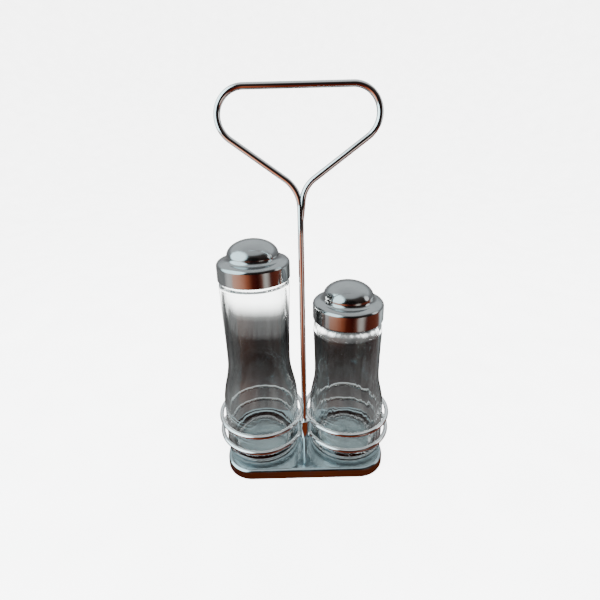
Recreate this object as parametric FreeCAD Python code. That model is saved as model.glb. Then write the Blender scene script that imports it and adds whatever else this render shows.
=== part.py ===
import FreeCAD, Part
import math
import os

# Cruet set: a wire stand with a pressed tray, and two screw-capped glass jars, one tall and one short.
# Millimetres. Z is up, X runs from the tall jar to the short one, and the front of the set faces -Y.
# The origin is on the table, midway between the two jars.

# ---- driving dimensions ----

# tray
TRAY_END_INSET = 1.6         # the jars' feet overhang the tray's ends by this much
TRAY_SIDE_MARGIN = 0.85      # tray's long sides beyond the rings
TRAY_HEIGHT = 7.0
TRAY_CORNER_RADIUS = 18.0
TRAY_EDGE_RADIUS = 2.2
TRAY_SHEET = 0.9

# wires of the stand
HANDLE_WIRE = 3.5            # diameter of the post and handle
RING_WIRE = 2.8              # diameter of the rings
RING_HEIGHT_LOWER = 12.8     # centre of the lower rings above the tray's top
RING_SPACING = 12.6          # from the lower rings to the upper ones
RING_PLAY = 1.4              # gap round a jar's foot, inside its rings
COLLAR_WALL = 1.85           # sleeve on the post that the rings are welded to
COLLAR_OVERHANG = 0.6        # how far the sleeve runs past the rings' centres
RING_SEAT = 1.1              # depth that a ring is let into the sleeve

# handle loop
HANDLE_CLEARANCE = 83.3      # from the tall cap's crown to the top of the handle
HANDLE_WIDTH = 87.0
HANDLE_CORNER_RADIUS = 14.0
HANDLE_SLOPE = 36.3          # degrees that the branches rise from level
NECK_BEND_POST = 20.0        # bend from the post into the left branch
NECK_BEND_END = 16.0         # bend from the right branch into its welded end
NECK_END_LEAN = 6.0          # degrees from upright that the welded end runs into the post
NECK_END_DROP = 19.0         # from where the branches would cross to where the welded end reaches the post

# threaded foot of the post, with its washer and nut under the tray
FOOT_STEP = 0.25             # thread's radius is this much under the wire's
FOOT_HOLE_PLAY = 0.05
FOOT_THREAD_OUT = 0.6        # thread standing out of the nut
WASHER_RIM = 2.5             # washer's width round the thread
WASHER_THICKNESS = 0.8
NUT_WALL = 1.25              # nut's flats outside the thread
NUT_THICKNESS = 2.4

# jars, both made the same way
FOOT_RADIUS = 25.2           # glass, outside, at its lower body
GLASS_WALL = 2.6
GLASS_BASE = 5.5
HEEL_RADIUS = 2.6
PUNT_MARGIN = 6.2            # standing rim round the hollow under the base
PUNT_DEPTH = 1.0
NECK_RADIUS = 18.6
NECK_TOP_MARGIN = 0.71       # plain length of neck above the thread
RIM_RADIUS = 0.7

TALL_HEIGHT = 123.6          # foot to the neck's root
TALL_BODY_TOP = 35.0         # where the lower body starts to draw in
TALL_WAIST_RADIUS = 20.7
TALL_WAIST_HEIGHT = 68.0
TALL_SHOULDER_STEP = 3.4     # shoulder's radius over the neck's
TALL_SHOULDER_DROP = 4.6     # widest part of the shoulder, below the neck's root

SHORT_HEIGHT = 95.0
SHORT_BODY_TOP = 28.6
SHORT_WAIST_RADIUS = 21.55
SHORT_WAIST_HEIGHT = 57.0
SHORT_SHOULDER_STEP = 3.6
SHORT_SHOULDER_DROP = 10.0

# how the glass flows from the body to the waist, the shoulder and the neck
DRAW_PULL = 0.42             # shares of a stretch's height that its curve is pulled by
SWELL_PULL = 0.35
SHOULDER_PULL = 0.25
SHOULDER_TUCK = 0.3          # shoulder curve's pull inwards, just below the shoulder
NECK_PULL = 1.2              # and outwards, where it turns in to the neck
THROAT_RISE = 1.0            # inside, from under the shoulder up to the mouth's bore

# screw threads of the necks and caps
THREAD_PITCH = 3.6
THREAD_TURNS = 1.15
THREAD_HEIGHT = 1.1
THREAD_ROOT_WIDTH = 1.7
THREAD_CREST_WIDTH = 0.9
THREAD_CREST_GAP = 0.35      # crest of one thread to the root of the other
THREAD_AXIAL_GAP = 0.2       # between the pulled-up flanks
THREAD_BITE = 0.3            # how far a ridge is sunk into its wall
NECK_THREAD_START = 1.9      # first turn's centre above the neck's root
CAP_THREAD_PHASE = 0.55      # turns from the neck thread's start to the cap thread's
CAP_THREAD_TURNS = 1.0

# caps
LINER_WALL = 1.95            # plastic between the neck thread's room and the cap's sheet
BAND_DROP = 1.7              # straight part of the band ends this far below the liner's top
CAP_EDGE_RADIUS = 2.4
CAP_SHEET = 0.5
CAP_LIFT = 0.5               # cap's edge above the neck's root
DOME_STEP = 6.6              # dome's radius under the cap's
DOME_RISE = 9.46             # dome from the top of its concave foot to its crown
DOME_FOOT_RADIUS = 2.6
SHOULDER_RISE = 0.54         # from the rounded edge up to the dome's foot
SHOULDER_SLOPE = 8.0         # degrees that the shoulder falls outwards at the edge

# plastic liner of the cap, its seal and the plug in the jar's mouth
LINER_RECESS = 0.4           # liner's skirt above the cap's edge
LINER_FLANGE = 1.5
LINER_LEDGE = 0.7            # liner's flange inside the seal
SEAL_THICKNESS = 1.0
SEAL_GAP = 0.05
SEAL_INSET = 0.4             # seal's outside within the neck's
SEAL_WIDTH = 5.0
PLUG_FLANGE = 1.0
PLUG_INSET = 0.6             # plug's flange within the neck's outside
PLUG_SKIRT_WALL = 1.3
PLUG_SKIRT_DEPTH = 6.0
POUR_HOLE_RADIUS = 3.0
POUR_LIP_WALL = 0.9
POUR_LIP_HEIGHT = 2.4
POUR_LIP_GAP = 1.1           # from the lip to the liner's opening
VENT_HOLE_RADIUS = 1.2
SIFTER_HOLE_RADIUS = 1.3
SIFTER_MARGIN = 6.0          # from the circle of shaking holes to the liner's opening
SIFTER_HOLES = 6

# ---- places worked out from the sizes above ----

TRAY_TOP = TRAY_HEIGHT
RING_WIRE_RADIUS = RING_WIRE / 2
RING_RADIUS = FOOT_RADIUS + RING_PLAY + RING_WIRE_RADIUS
JAR_X = RING_RADIUS + RING_WIRE_RADIUS       # the two jars' rings just touch between the jars
POST_RADIUS = HANDLE_WIRE / 2
COLLAR_RADIUS = POST_RADIUS + COLLAR_WALL
POST_TO_JAR = RING_RADIUS + RING_WIRE_RADIUS - RING_SEAT + COLLAR_RADIUS
POST_Y = -math.sqrt(POST_TO_JAR ** 2 - JAR_X ** 2)
TRAY_LENGTH = 2 * (JAR_X + FOOT_RADIUS - TRAY_END_INSET)
TRAY_DEPTH = 2 * (RING_RADIUS + RING_WIRE_RADIUS + TRAY_SIDE_MARGIN)
THREADED_RADIUS = POST_RADIUS - FOOT_STEP
PUNT_RADIUS = FOOT_RADIUS - PUNT_MARGIN
MOUTH_RADIUS = NECK_RADIUS - GLASS_WALL
NECK_HEIGHT = NECK_THREAD_START + THREAD_PITCH * THREAD_TURNS + THREAD_ROOT_WIDTH / 2 + NECK_TOP_MARGIN
LINER_BORE = NECK_RADIUS + THREAD_HEIGHT + THREAD_CREST_GAP
CAP_RADIUS = LINER_BORE + LINER_WALL + CAP_SHEET
SEAL_OUTER = NECK_RADIUS - SEAL_INSET
SEAL_INNER = SEAL_OUTER - SEAL_WIDTH
LINER_OPENING = SEAL_INNER - LINER_LEDGE
PLUG_RADIUS = NECK_RADIUS - PLUG_INSET
POUR_HOLE_OFFSET = LINER_OPENING - POUR_LIP_GAP - POUR_LIP_WALL - POUR_HOLE_RADIUS
SIFTER_CIRCLE = LINER_OPENING - SIFTER_MARGIN
# heights above the cap's lower edge: the flange sits on the seal, and that on the plug
SEAL_BOTTOM = NECK_HEIGHT - CAP_LIFT + PLUG_FLANGE + SEAL_GAP
FLANGE_BOTTOM = SEAL_BOTTOM + SEAL_THICKNESS + SEAL_GAP
LINER_TOP = FLANGE_BOTTOM + LINER_FLANGE
CAP_BAND = LINER_TOP - BAND_DROP             # straight part of the band
DOME_RADIUS = CAP_RADIUS - DOME_STEP
DOME_BASE = CAP_BAND + CAP_EDGE_RADIUS + SHOULDER_RISE + DOME_FOOT_RADIUS
TALL_CROWN = TRAY_TOP + TALL_HEIGHT + CAP_LIFT + DOME_BASE + DOME_RISE
HANDLE_BAR_HEIGHT = TALL_CROWN + HANDLE_CLEARANCE - POST_RADIUS
HANDLE_CORNER_X = HANDLE_WIDTH / 2 - POST_RADIUS - HANDLE_CORNER_RADIUS
HANDLE_CORNER_Z = HANDLE_BAR_HEIGHT - HANDLE_CORNER_RADIUS
RING_LEVELS = {
    "lower": TRAY_TOP + RING_HEIGHT_LOWER,
    "upper": TRAY_TOP + RING_HEIGHT_LOWER + RING_SPACING,
}
# the cap's thread below the neck's
THREAD_DROP = (THREAD_ROOT_WIDTH + THREAD_CREST_WIDTH) / 2 + THREAD_AXIAL_GAP

UP = FreeCAD.Vector(0, 0, 1)
ROUND_PULL = 0.5523          # share of its size that a quarter ellipse's curve is pulled by
NEARLY_UPRIGHT = 0.9         # least upright share of an upright edge's direction
SAME_HEIGHT = 0.01           # heights this close are the same


def vec(x, y, z):
    return FreeCAD.Vector(x, y, z)


def cylinder(radius, bottom, top, x=0.0, y=0.0):
    """Upright cylinder between two heights."""
    return Part.makeCylinder(radius, top - bottom, vec(x, y, bottom), UP)


def line(start, end):
    """Straight edge of an outline, from (radius, height) to (radius, height)."""
    return Part.LineSegment(vec(start[0], 0, start[1]), vec(end[0], 0, end[1])).toShape()


def arc(start, middle, end):
    """Round edge of an outline through three (radius, height) points."""
    points = [vec(radius, 0, height) for radius, height in (start, middle, end)]
    return Part.Arc(*points).toShape()


def curve(*poles):
    """Smooth edge of an outline, a Bezier curve pulled by its (radius, height) poles."""
    bezier = Part.BezierCurve()
    bezier.setPoles([vec(pole[0], 0, pole[1]) for pole in poles])
    return bezier.toShape()


def turned(edges):
    """Solid of revolution about the upright axis, from the edges of a closed outline."""
    return Part.Face(Part.Wire(edges)).revolve(vec(0, 0, 0), UP, 360)


def on_circle(centre, radius, degrees):
    """Point on a circle in an outline, at an angle from level."""
    angle = math.radians(degrees)
    return (centre[0] + radius * math.cos(angle), centre[1] + radius * math.sin(angle))


def round_corner(centre, radius, start, end):
    """Arc of an outline about a centre, between two angles."""
    middle = (start + end) / 2
    return arc(*[on_circle(centre, radius, angle) for angle in (start, middle, end)])


# ---- stand ----

def rounded_slab(length, depth, corner, bottom, top):
    """Slab with rounded upright corners."""
    slab = Part.makeBox(length, depth, top - bottom, vec(-length / 2, -depth / 2, bottom))
    uprights = [edge for edge in slab.Edges if abs(edge.tangentAt(edge.FirstParameter).z) > NEARLY_UPRIGHT]
    return slab.makeFillet(corner, uprights)


def pressed_form(inset, top, edge_radius):
    """Tray's outer or inner form: a rounded slab with a rolled top edge."""
    form = rounded_slab(TRAY_LENGTH - 2 * inset, TRAY_DEPTH - 2 * inset, TRAY_CORNER_RADIUS - inset, 0.0, top)
    rim = [edge for edge in form.Edges if edge.BoundBox.ZMin > top - SAME_HEIGHT]
    return form.makeFillet(edge_radius, rim)


def base_tray():
    """Pressed sheet tray: flat top, rolled edge and plain skirt, open underneath, with the post's hole."""
    outer = pressed_form(0.0, TRAY_TOP, TRAY_EDGE_RADIUS)
    inner = pressed_form(TRAY_SHEET, TRAY_TOP - TRAY_SHEET, TRAY_EDGE_RADIUS - TRAY_SHEET)
    hole = cylinder(THREADED_RADIUS + FOOT_HOLE_PLAY, 0.0, TRAY_TOP, 0.0, POST_Y)
    return outer.cut(inner).cut(hole)


def swept_wire(edges):
    """Round wire of the handle's thickness along a path in the handle's plane."""
    path = Part.Wire(edges)
    start = path.OrderedVertexes[0].Point
    first = path.OrderedEdges[0]
    section = Part.Wire(Part.makeCircle(POST_RADIUS, start, first.tangentAt(first.FirstParameter)))
    return path.makePipeShell([section], True, True)


def branch_foot():
    """Where a branch's straight rise ends at its top corner, as (distance from the post, height)."""
    slope = math.radians(HANDLE_SLOPE)
    return (HANDLE_CORNER_X + HANDLE_CORNER_RADIUS * math.sin(slope),
            HANDLE_CORNER_Z - HANDLE_CORNER_RADIUS * math.cos(slope))


def welded_end_height():
    """Height at which the welded end reaches the post's middle."""
    foot_x, foot_z = branch_foot()
    return foot_z - foot_x * math.tan(math.radians(HANDLE_SLOPE)) - NECK_END_DROP


def handle_branch(side, bend, lean_degrees):
    """One branch of the handle: its bend's three points at the post, then the foot of its top corner.

    The branch leaves the post's middle at the welded end's height and at an angle from upright, bends, and
    rises at the slope.
    """
    slope = math.radians(HANDLE_SLOPE)
    lean = math.radians(lean_degrees)
    foot_x, foot_z = branch_foot()
    meet_x = NECK_END_DROP * math.tan(lean) / (1 - math.tan(slope) * math.tan(lean))
    meet_z = foot_z - (foot_x - meet_x) * math.tan(slope)
    reach = bend * math.tan((math.pi / 2 - slope - lean) / 2)
    bend_end = (meet_x - reach * math.sin(lean), meet_z - reach * math.cos(lean))
    bend_start = (meet_x + reach * math.cos(slope), meet_z + reach * math.sin(slope))
    centre = (bend_end[0] + bend * math.cos(lean), bend_end[1] - bend * math.sin(lean))
    inward = math.atan2(meet_z - centre[1], meet_x - centre[0])
    middle = on_circle(centre, bend, math.degrees(inward))
    points = [bend_end, middle, bend_start, (foot_x, foot_z)]
    return [vec(side * x, POST_Y, z) for x, z in points]


def handle_corner(side):
    """Middle and upper end of a top corner's arc."""
    middle = on_circle((HANDLE_CORNER_X, HANDLE_CORNER_Z), HANDLE_CORNER_RADIUS, HANDLE_SLOPE / 2)
    return [vec(side * middle[0], POST_Y, middle[1]), vec(side * HANDLE_CORNER_X, POST_Y, HANDLE_BAR_HEIGHT)]


def handle_wire():
    """One bent wire: threaded foot, post, left branch, top bar, right branch, and the end welded on."""
    left = handle_branch(-1, NECK_BEND_POST, 0.0)
    right = handle_branch(1, NECK_BEND_END, NECK_END_LEAN)
    left_corner = handle_corner(-1)
    right_corner = handle_corner(1)
    wire = swept_wire([
        Part.LineSegment(vec(0, POST_Y, TRAY_TOP), left[0]).toShape(),
        Part.Arc(left[0], left[1], left[2]).toShape(),
        Part.LineSegment(left[2], left[3]).toShape(),
        Part.Arc(left[3], left_corner[0], left_corner[1]).toShape(),
        Part.LineSegment(left_corner[1], right_corner[1]).toShape(),
        Part.Arc(right_corner[1], right_corner[0], right[3]).toShape(),
        Part.LineSegment(right[3], right[2]).toShape(),
    ])
    welded_end = swept_wire([
        Part.LineSegment(vec(0, POST_Y, welded_end_height()), right[0]).toShape(),
        Part.Arc(right[0], right[1], right[2]).toShape(),
    ])
    foot_bottom = TRAY_TOP - TRAY_SHEET - WASHER_THICKNESS - NUT_THICKNESS - FOOT_THREAD_OUT
    foot = cylinder(THREADED_RADIUS, foot_bottom, TRAY_TOP + POST_RADIUS, 0.0, POST_Y)
    return wire.fuse([welded_end, foot]).removeSplitter()


def ring(side, level):
    """Ring of wire round a jar's foot."""
    return Part.makeTorus(RING_RADIUS, RING_WIRE_RADIUS, vec(side * JAR_X, 0, RING_LEVELS[level]), UP)


def ring_collar():
    """Sleeve on the post, between the two ring levels, with a seat for each ring."""
    bottom = RING_LEVELS["lower"] - COLLAR_OVERHANG
    top = RING_LEVELS["upper"] + COLLAR_OVERHANG
    sleeve = cylinder(COLLAR_RADIUS, bottom, top, 0.0, POST_Y)
    sleeve = sleeve.cut(cylinder(POST_RADIUS, bottom, top, 0.0, POST_Y))
    rings = [ring(side, level) for side in (-1, 1) for level in RING_LEVELS]
    return sleeve.cut(rings)


def post_washer():
    """Washer under the tray."""
    top = TRAY_TOP - TRAY_SHEET
    washer = cylinder(THREADED_RADIUS + WASHER_RIM, top - WASHER_THICKNESS, top, 0.0, POST_Y)
    return washer.cut(cylinder(THREADED_RADIUS, top - WASHER_THICKNESS, top, 0.0, POST_Y))


def post_nut():
    """Hexagon nut on the post's threaded foot."""
    top = TRAY_TOP - TRAY_SHEET - WASHER_THICKNESS
    corner_radius = (THREADED_RADIUS + NUT_WALL) * 2 / math.sqrt(3)
    corners = []
    for step in range(7):
        angle = math.radians(60 * step)
        corners.append(vec(corner_radius * math.cos(angle), POST_Y + corner_radius * math.sin(angle), top))
    hexagon = Part.Face(Part.makePolygon(corners)).extrude(vec(0, 0, -NUT_THICKNESS))
    return hexagon.cut(cylinder(THREADED_RADIUS, top - NUT_THICKNESS, top, 0.0, POST_Y))


# ---- screw threads ----

def thread_ridge(wall_radius, outward, turns, start_turn, start_height):
    """Helical ridge on a neck (outward 1) or inside a liner (outward -1), sunk a little into its wall."""
    root = wall_radius - outward * THREAD_BITE
    crest = wall_radius + outward * THREAD_HEIGHT
    section = Part.makePolygon([
        vec(root, 0, -THREAD_ROOT_WIDTH / 2),
        vec(crest, 0, -THREAD_CREST_WIDTH / 2),
        vec(crest, 0, THREAD_CREST_WIDTH / 2),
        vec(root, 0, THREAD_ROOT_WIDTH / 2),
        vec(root, 0, -THREAD_ROOT_WIDTH / 2),
    ])
    helix = Part.makeHelix(THREAD_PITCH, THREAD_PITCH * turns, wall_radius)
    ridge = Part.Wire(helix.Edges).makePipeShell([section], True, True)
    ridge.rotate(vec(0, 0, 0), UP, 360 * start_turn)
    ridge.translate(vec(0, 0, start_height + THREAD_PITCH * start_turn))
    return ridge


# ---- jars ----

def glass(height, body_top, waist_radius, waist_height, shoulder_step, shoulder_drop):
    """Jar with a thick base, straight body, drawn-in waist, shoulder and threaded neck. Foot at height 0."""
    shoulder_radius = NECK_RADIUS + shoulder_step
    shoulder_height = height - shoulder_drop
    draw = waist_height - body_top
    swell = shoulder_height - waist_height
    mouth = height + NECK_HEIGHT
    heel = (FOOT_RADIUS - HEEL_RADIUS, HEEL_RADIUS)
    outline = [
        line((0, PUNT_DEPTH), (PUNT_RADIUS - PUNT_DEPTH, PUNT_DEPTH)),
        line((PUNT_RADIUS - PUNT_DEPTH, PUNT_DEPTH), (PUNT_RADIUS, 0)),
        line((PUNT_RADIUS, 0), (heel[0], 0)),
        round_corner(heel, HEEL_RADIUS, -90, 0),
        line((FOOT_RADIUS, HEEL_RADIUS), (FOOT_RADIUS, body_top)),
        curve((FOOT_RADIUS, body_top), (FOOT_RADIUS, body_top + DRAW_PULL * draw),
              (waist_radius, waist_height - DRAW_PULL * draw), (waist_radius, waist_height)),
        curve((waist_radius, waist_height), (waist_radius, waist_height + SWELL_PULL * swell),
              (shoulder_radius - SHOULDER_TUCK, shoulder_height - SHOULDER_PULL * swell),
              (shoulder_radius, shoulder_height)),
        curve((shoulder_radius, shoulder_height), (shoulder_radius, height - SHOULDER_PULL * shoulder_drop),
              (shoulder_radius - NECK_PULL, height), (NECK_RADIUS, height)),
        line((NECK_RADIUS, height), (NECK_RADIUS, mouth - RIM_RADIUS)),
        round_corner((NECK_RADIUS - RIM_RADIUS, mouth - RIM_RADIUS), RIM_RADIUS, 0, 90),
        line((NECK_RADIUS - RIM_RADIUS, mouth), (0, mouth)),
        line((0, mouth), (0, PUNT_DEPTH)),
    ]
    body_radius = FOOT_RADIUS - GLASS_WALL
    waist_inside = waist_radius - GLASS_WALL
    shoulder_inside = shoulder_radius - GLASS_WALL
    throat = height - GLASS_WALL
    hollow = [
        line((0, GLASS_BASE), (body_radius - HEEL_RADIUS, GLASS_BASE)),
        round_corner((body_radius - HEEL_RADIUS, GLASS_BASE + HEEL_RADIUS), HEEL_RADIUS, -90, 0),
        line((body_radius, GLASS_BASE + HEEL_RADIUS), (body_radius, body_top)),
        curve((body_radius, body_top), (body_radius, body_top + DRAW_PULL * draw),
              (waist_inside, waist_height - DRAW_PULL * draw), (waist_inside, waist_height)),
        curve((waist_inside, waist_height), (waist_inside, waist_height + SWELL_PULL * swell),
              (shoulder_inside - SHOULDER_TUCK, shoulder_height - SHOULDER_PULL * swell),
              (shoulder_inside, shoulder_height)),
        curve((shoulder_inside, shoulder_height),
              (shoulder_inside, throat - SHOULDER_PULL * (throat - shoulder_height)),
              (MOUTH_RADIUS + NECK_PULL, throat), (MOUTH_RADIUS, throat + THROAT_RISE)),
        line((MOUTH_RADIUS, throat + THROAT_RISE), (MOUTH_RADIUS, mouth)),
        line((MOUTH_RADIUS, mouth), (0, mouth)),
        line((0, mouth), (0, GLASS_BASE)),
    ]
    ridge = thread_ridge(NECK_RADIUS, 1, THREAD_TURNS, 0.0, height + NECK_THREAD_START)
    return turned(outline).fuse(ridge).cut(turned(hollow))


def mouth_plug(height):
    """Plastic plug pressed into a jar's mouth: skirt, plate and a flange on the rim. No holes yet."""
    mouth = height + NECK_HEIGHT
    outer = cylinder(PLUG_RADIUS, mouth, mouth + PLUG_FLANGE)
    outer = outer.fuse(cylinder(MOUTH_RADIUS, mouth - PLUG_SKIRT_DEPTH, mouth))
    inner = cylinder(MOUTH_RADIUS - PLUG_SKIRT_WALL, mouth - PLUG_SKIRT_DEPTH, mouth)
    return outer.cut(inner).removeSplitter()


def pourer_plug(height):
    """Plug with a lipped pouring hole and an air hole across from it."""
    plate = height + NECK_HEIGHT
    top = plate + PLUG_FLANGE + POUR_LIP_HEIGHT
    lip = cylinder(POUR_HOLE_RADIUS + POUR_LIP_WALL, plate, top, 0.0, -POUR_HOLE_OFFSET)
    pour_hole = cylinder(POUR_HOLE_RADIUS, plate, top, 0.0, -POUR_HOLE_OFFSET)
    air_hole = cylinder(VENT_HOLE_RADIUS, plate, top, 0.0, POUR_HOLE_OFFSET)
    return mouth_plug(height).fuse(lip).cut([pour_hole, air_hole]).removeSplitter()


def sifter_plug(height):
    """Plug with a ring of shaking holes round a centre one."""
    plate = height + NECK_HEIGHT
    top = plate + PLUG_FLANGE
    holes = [cylinder(SIFTER_HOLE_RADIUS, plate, top)]
    for step in range(SIFTER_HOLES):
        angle = 2 * math.pi * step / SIFTER_HOLES
        x = SIFTER_CIRCLE * math.cos(angle)
        y = SIFTER_CIRCLE * math.sin(angle)
        holes.append(cylinder(SIFTER_HOLE_RADIUS, plate, top, x, y))
    return mouth_plug(height).cut(holes)


# ---- caps, made with their lower edge at height 0 ----

def cap_form(inset):
    """Form of the cap's sheet, outside (inset 0) or inside: band, rounded edge, shoulder and dome."""
    edge_centre = (CAP_RADIUS - CAP_EDGE_RADIUS, CAP_BAND)
    edge_radius = CAP_EDGE_RADIUS - inset
    foot_centre = (DOME_RADIUS + DOME_FOOT_RADIUS, DOME_BASE)
    foot_radius = DOME_FOOT_RADIUS + inset
    dome_radius = DOME_RADIUS - inset
    dome_rise = DOME_RISE - inset
    crown = (0.0, DOME_BASE + dome_rise)
    edge_end = on_circle(edge_centre, edge_radius, 90 - SHOULDER_SLOPE)
    return turned([
        line((0, 0), (CAP_RADIUS - inset, 0)),
        line((CAP_RADIUS - inset, 0), (CAP_RADIUS - inset, CAP_BAND)),
        round_corner(edge_centre, edge_radius, 0, 90 - SHOULDER_SLOPE),
        line(edge_end, on_circle(foot_centre, foot_radius, 270)),
        round_corner(foot_centre, foot_radius, 270, 180),
        curve((dome_radius, DOME_BASE), (dome_radius, DOME_BASE + ROUND_PULL * dome_rise),
              (ROUND_PULL * dome_radius, crown[1]), crown),
        line(crown, (0, 0)),
    ])


def cap_shell():
    """Chromed sheet cap."""
    return cap_form(0.0).cut(cap_form(CAP_SHEET))


def cap_liner():
    """Threaded plastic liner that fills the cap's band."""
    ridge_start = NECK_THREAD_START - CAP_LIFT - THREAD_DROP
    body = cylinder(CAP_RADIUS - CAP_SHEET, LINER_RECESS, LINER_TOP)
    body = body.cut(cylinder(LINER_BORE, LINER_RECESS, FLANGE_BOTTOM))
    body = body.cut(cylinder(LINER_OPENING, FLANGE_BOTTOM, LINER_TOP))
    ridge = thread_ridge(LINER_BORE, -1, CAP_THREAD_TURNS, CAP_THREAD_PHASE, ridge_start)
    return body.fuse(ridge).common(cap_form(CAP_SHEET))


def cap_seal():
    """Soft ring that the cap presses on the plug's flange."""
    top = SEAL_BOTTOM + SEAL_THICKNESS
    return cylinder(SEAL_OUTER, SEAL_BOTTOM, top).cut(cylinder(SEAL_INNER, SEAL_BOTTOM, top))


# ---- assembly ----

def placed(shape, x, z):
    """A jar's piece, moved to its place on the tray."""
    shape.translate(vec(x, 0, z))
    return shape


def jar_nodes(name, side, plug, sizes):
    """All pieces of one jar, by node name."""
    height = sizes[0]
    cap_height = TRAY_TOP + height + CAP_LIFT
    return {
        name + "_glass": placed(glass(*sizes), side * JAR_X, TRAY_TOP),
        name + "_" + plug.__name__: placed(plug(height), side * JAR_X, TRAY_TOP),
        name + "_cap_seal": placed(cap_seal(), side * JAR_X, cap_height),
        name + "_cap_liner": placed(cap_liner(), side * JAR_X, cap_height),
        name + "_cap_shell": placed(cap_shell(), side * JAR_X, cap_height),
    }


TALL_SIZES = (TALL_HEIGHT, TALL_BODY_TOP, TALL_WAIST_RADIUS, TALL_WAIST_HEIGHT,
              TALL_SHOULDER_STEP, TALL_SHOULDER_DROP)
SHORT_SIZES = (SHORT_HEIGHT, SHORT_BODY_TOP, SHORT_WAIST_RADIUS, SHORT_WAIST_HEIGHT,
               SHORT_SHOULDER_STEP, SHORT_SHOULDER_DROP)

nodes = {
    "base_tray": base_tray(),
    "handle_wire": handle_wire(),
    "ring_collar": ring_collar(),
    "post_washer": post_washer(),
    "post_nut": post_nut(),
}
for jar, jar_side in (("tall", -1), ("short", 1)):
    for ring_level in RING_LEVELS:
        nodes[jar + "_ring_" + ring_level] = ring(jar_side, ring_level)
nodes.update(jar_nodes("tall", -1, pourer_plug, TALL_SIZES))
nodes.update(jar_nodes("short", 1, sifter_plug, SHORT_SIZES))

os.makedirs("parts", exist_ok=True)
for node_name, node_shape in nodes.items():
    node_shape.exportStep(os.path.join("parts", node_name + ".step"))
    box = node_shape.BoundBox
    print(node_name, "solids", len(node_shape.Solids), "valid", node_shape.isValid(),
          "volume %.1f" % node_shape.Volume,
          "z %.2f to %.2f" % (box.ZMin, box.ZMax))
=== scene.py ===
import math

import bmesh
import bpy
from mathutils import Matrix, Vector


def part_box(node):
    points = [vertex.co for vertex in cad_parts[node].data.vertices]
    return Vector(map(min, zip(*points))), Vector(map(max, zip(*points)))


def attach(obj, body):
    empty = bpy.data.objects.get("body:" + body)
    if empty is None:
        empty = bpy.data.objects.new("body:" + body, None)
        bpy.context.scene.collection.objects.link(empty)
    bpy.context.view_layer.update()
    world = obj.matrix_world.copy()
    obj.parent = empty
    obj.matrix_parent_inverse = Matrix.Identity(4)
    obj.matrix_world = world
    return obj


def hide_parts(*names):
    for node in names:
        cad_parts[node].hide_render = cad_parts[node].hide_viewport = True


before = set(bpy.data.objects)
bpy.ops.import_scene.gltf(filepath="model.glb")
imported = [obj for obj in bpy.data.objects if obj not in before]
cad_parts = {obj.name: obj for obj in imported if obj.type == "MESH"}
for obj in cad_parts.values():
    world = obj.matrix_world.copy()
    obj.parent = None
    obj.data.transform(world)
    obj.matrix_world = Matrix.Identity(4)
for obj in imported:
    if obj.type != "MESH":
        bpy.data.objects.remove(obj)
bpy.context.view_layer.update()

MM = 0.001


# ---- places read from the frame, in millimetres ----

def low(node):
    """Lowest corner of a CAD node, in millimetres."""
    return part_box(node)[0] / MM


def high(node):
    """Highest corner of a CAD node, in millimetres."""
    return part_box(node)[1] / MM


def middle(node):
    """Middle of a CAD node, in millimetres."""
    return (low(node) + high(node)) / 2


def radius_of(node):
    """Radius of a round upright CAD node, in millimetres."""
    return (high(node).x - low(node).x) / 2


TRAY_TOP = high("base_tray").z
WIRE_RADIUS = (high("handle_wire").y - low("handle_wire").y) / 2
POST_Y = middle("handle_wire").y
RING_WIRE_RADIUS = (high("tall_ring_upper").z - low("tall_ring_upper").z) / 2


# ---- outlines: lists of (radius, height) points, in millimetres ----

def bend(centre, radius, start, end, steps=10):
    """Points of an arc about a centre, from one angle to another in degrees."""
    points = []
    for step in range(steps + 1):
        angle = math.radians(start + (end - start) * step / steps)
        points.append((centre[0] + radius * math.cos(angle), centre[1] + radius * math.sin(angle)))
    return points


def flow(poles, steps=24):
    """Points of a smooth curve pulled by four poles."""
    points = []
    for step in range(steps + 1):
        t = step / steps
        pulls = ((1 - t) ** 3, 3 * t * (1 - t) ** 2, 3 * t * t * (1 - t), t ** 3)
        points.append(tuple(sum(pull * pole[i] for pull, pole in zip(pulls, poles)) for i in (0, 1)))
    return points


def straight(start, end, steps):
    """Points of a straight stretch, divided into rows."""
    return [tuple(a + (b - a) * step / steps for a, b in zip(start, end)) for step in range(steps + 1)]


def without_doubles(points):
    """Outline with its repeated points dropped."""
    kept = [points[0]]
    for point in points[1:]:
        if math.dist(point, kept[-1]) > 1e-4:
            kept.append(point)
    return kept


# ---- meshes ----

def finished(name, mesh, body, material, at=(0.0, 0.0, 0.0), sharp=40.0, stands_for=()):
    """Piece made of a mesh in millimetres: smooth but for its sharp edges, in place and riding on its body."""
    bmesh.ops.recalc_face_normals(mesh, faces=mesh.faces)
    bmesh.ops.scale(mesh, vec=(MM, MM, MM), verts=mesh.verts)
    data = bpy.data.meshes.new(name)
    mesh.to_mesh(data)
    mesh.free()
    data.shade_smooth()
    data.set_sharp_from_angle(angle=math.radians(sharp))
    data.materials.append(material)
    piece = bpy.data.objects.new(name, data)
    piece.location = Vector(at) * MM
    bpy.context.scene.collection.objects.link(piece)
    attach(piece, body)
    if stands_for:
        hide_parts(*stands_for)
    return piece


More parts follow.
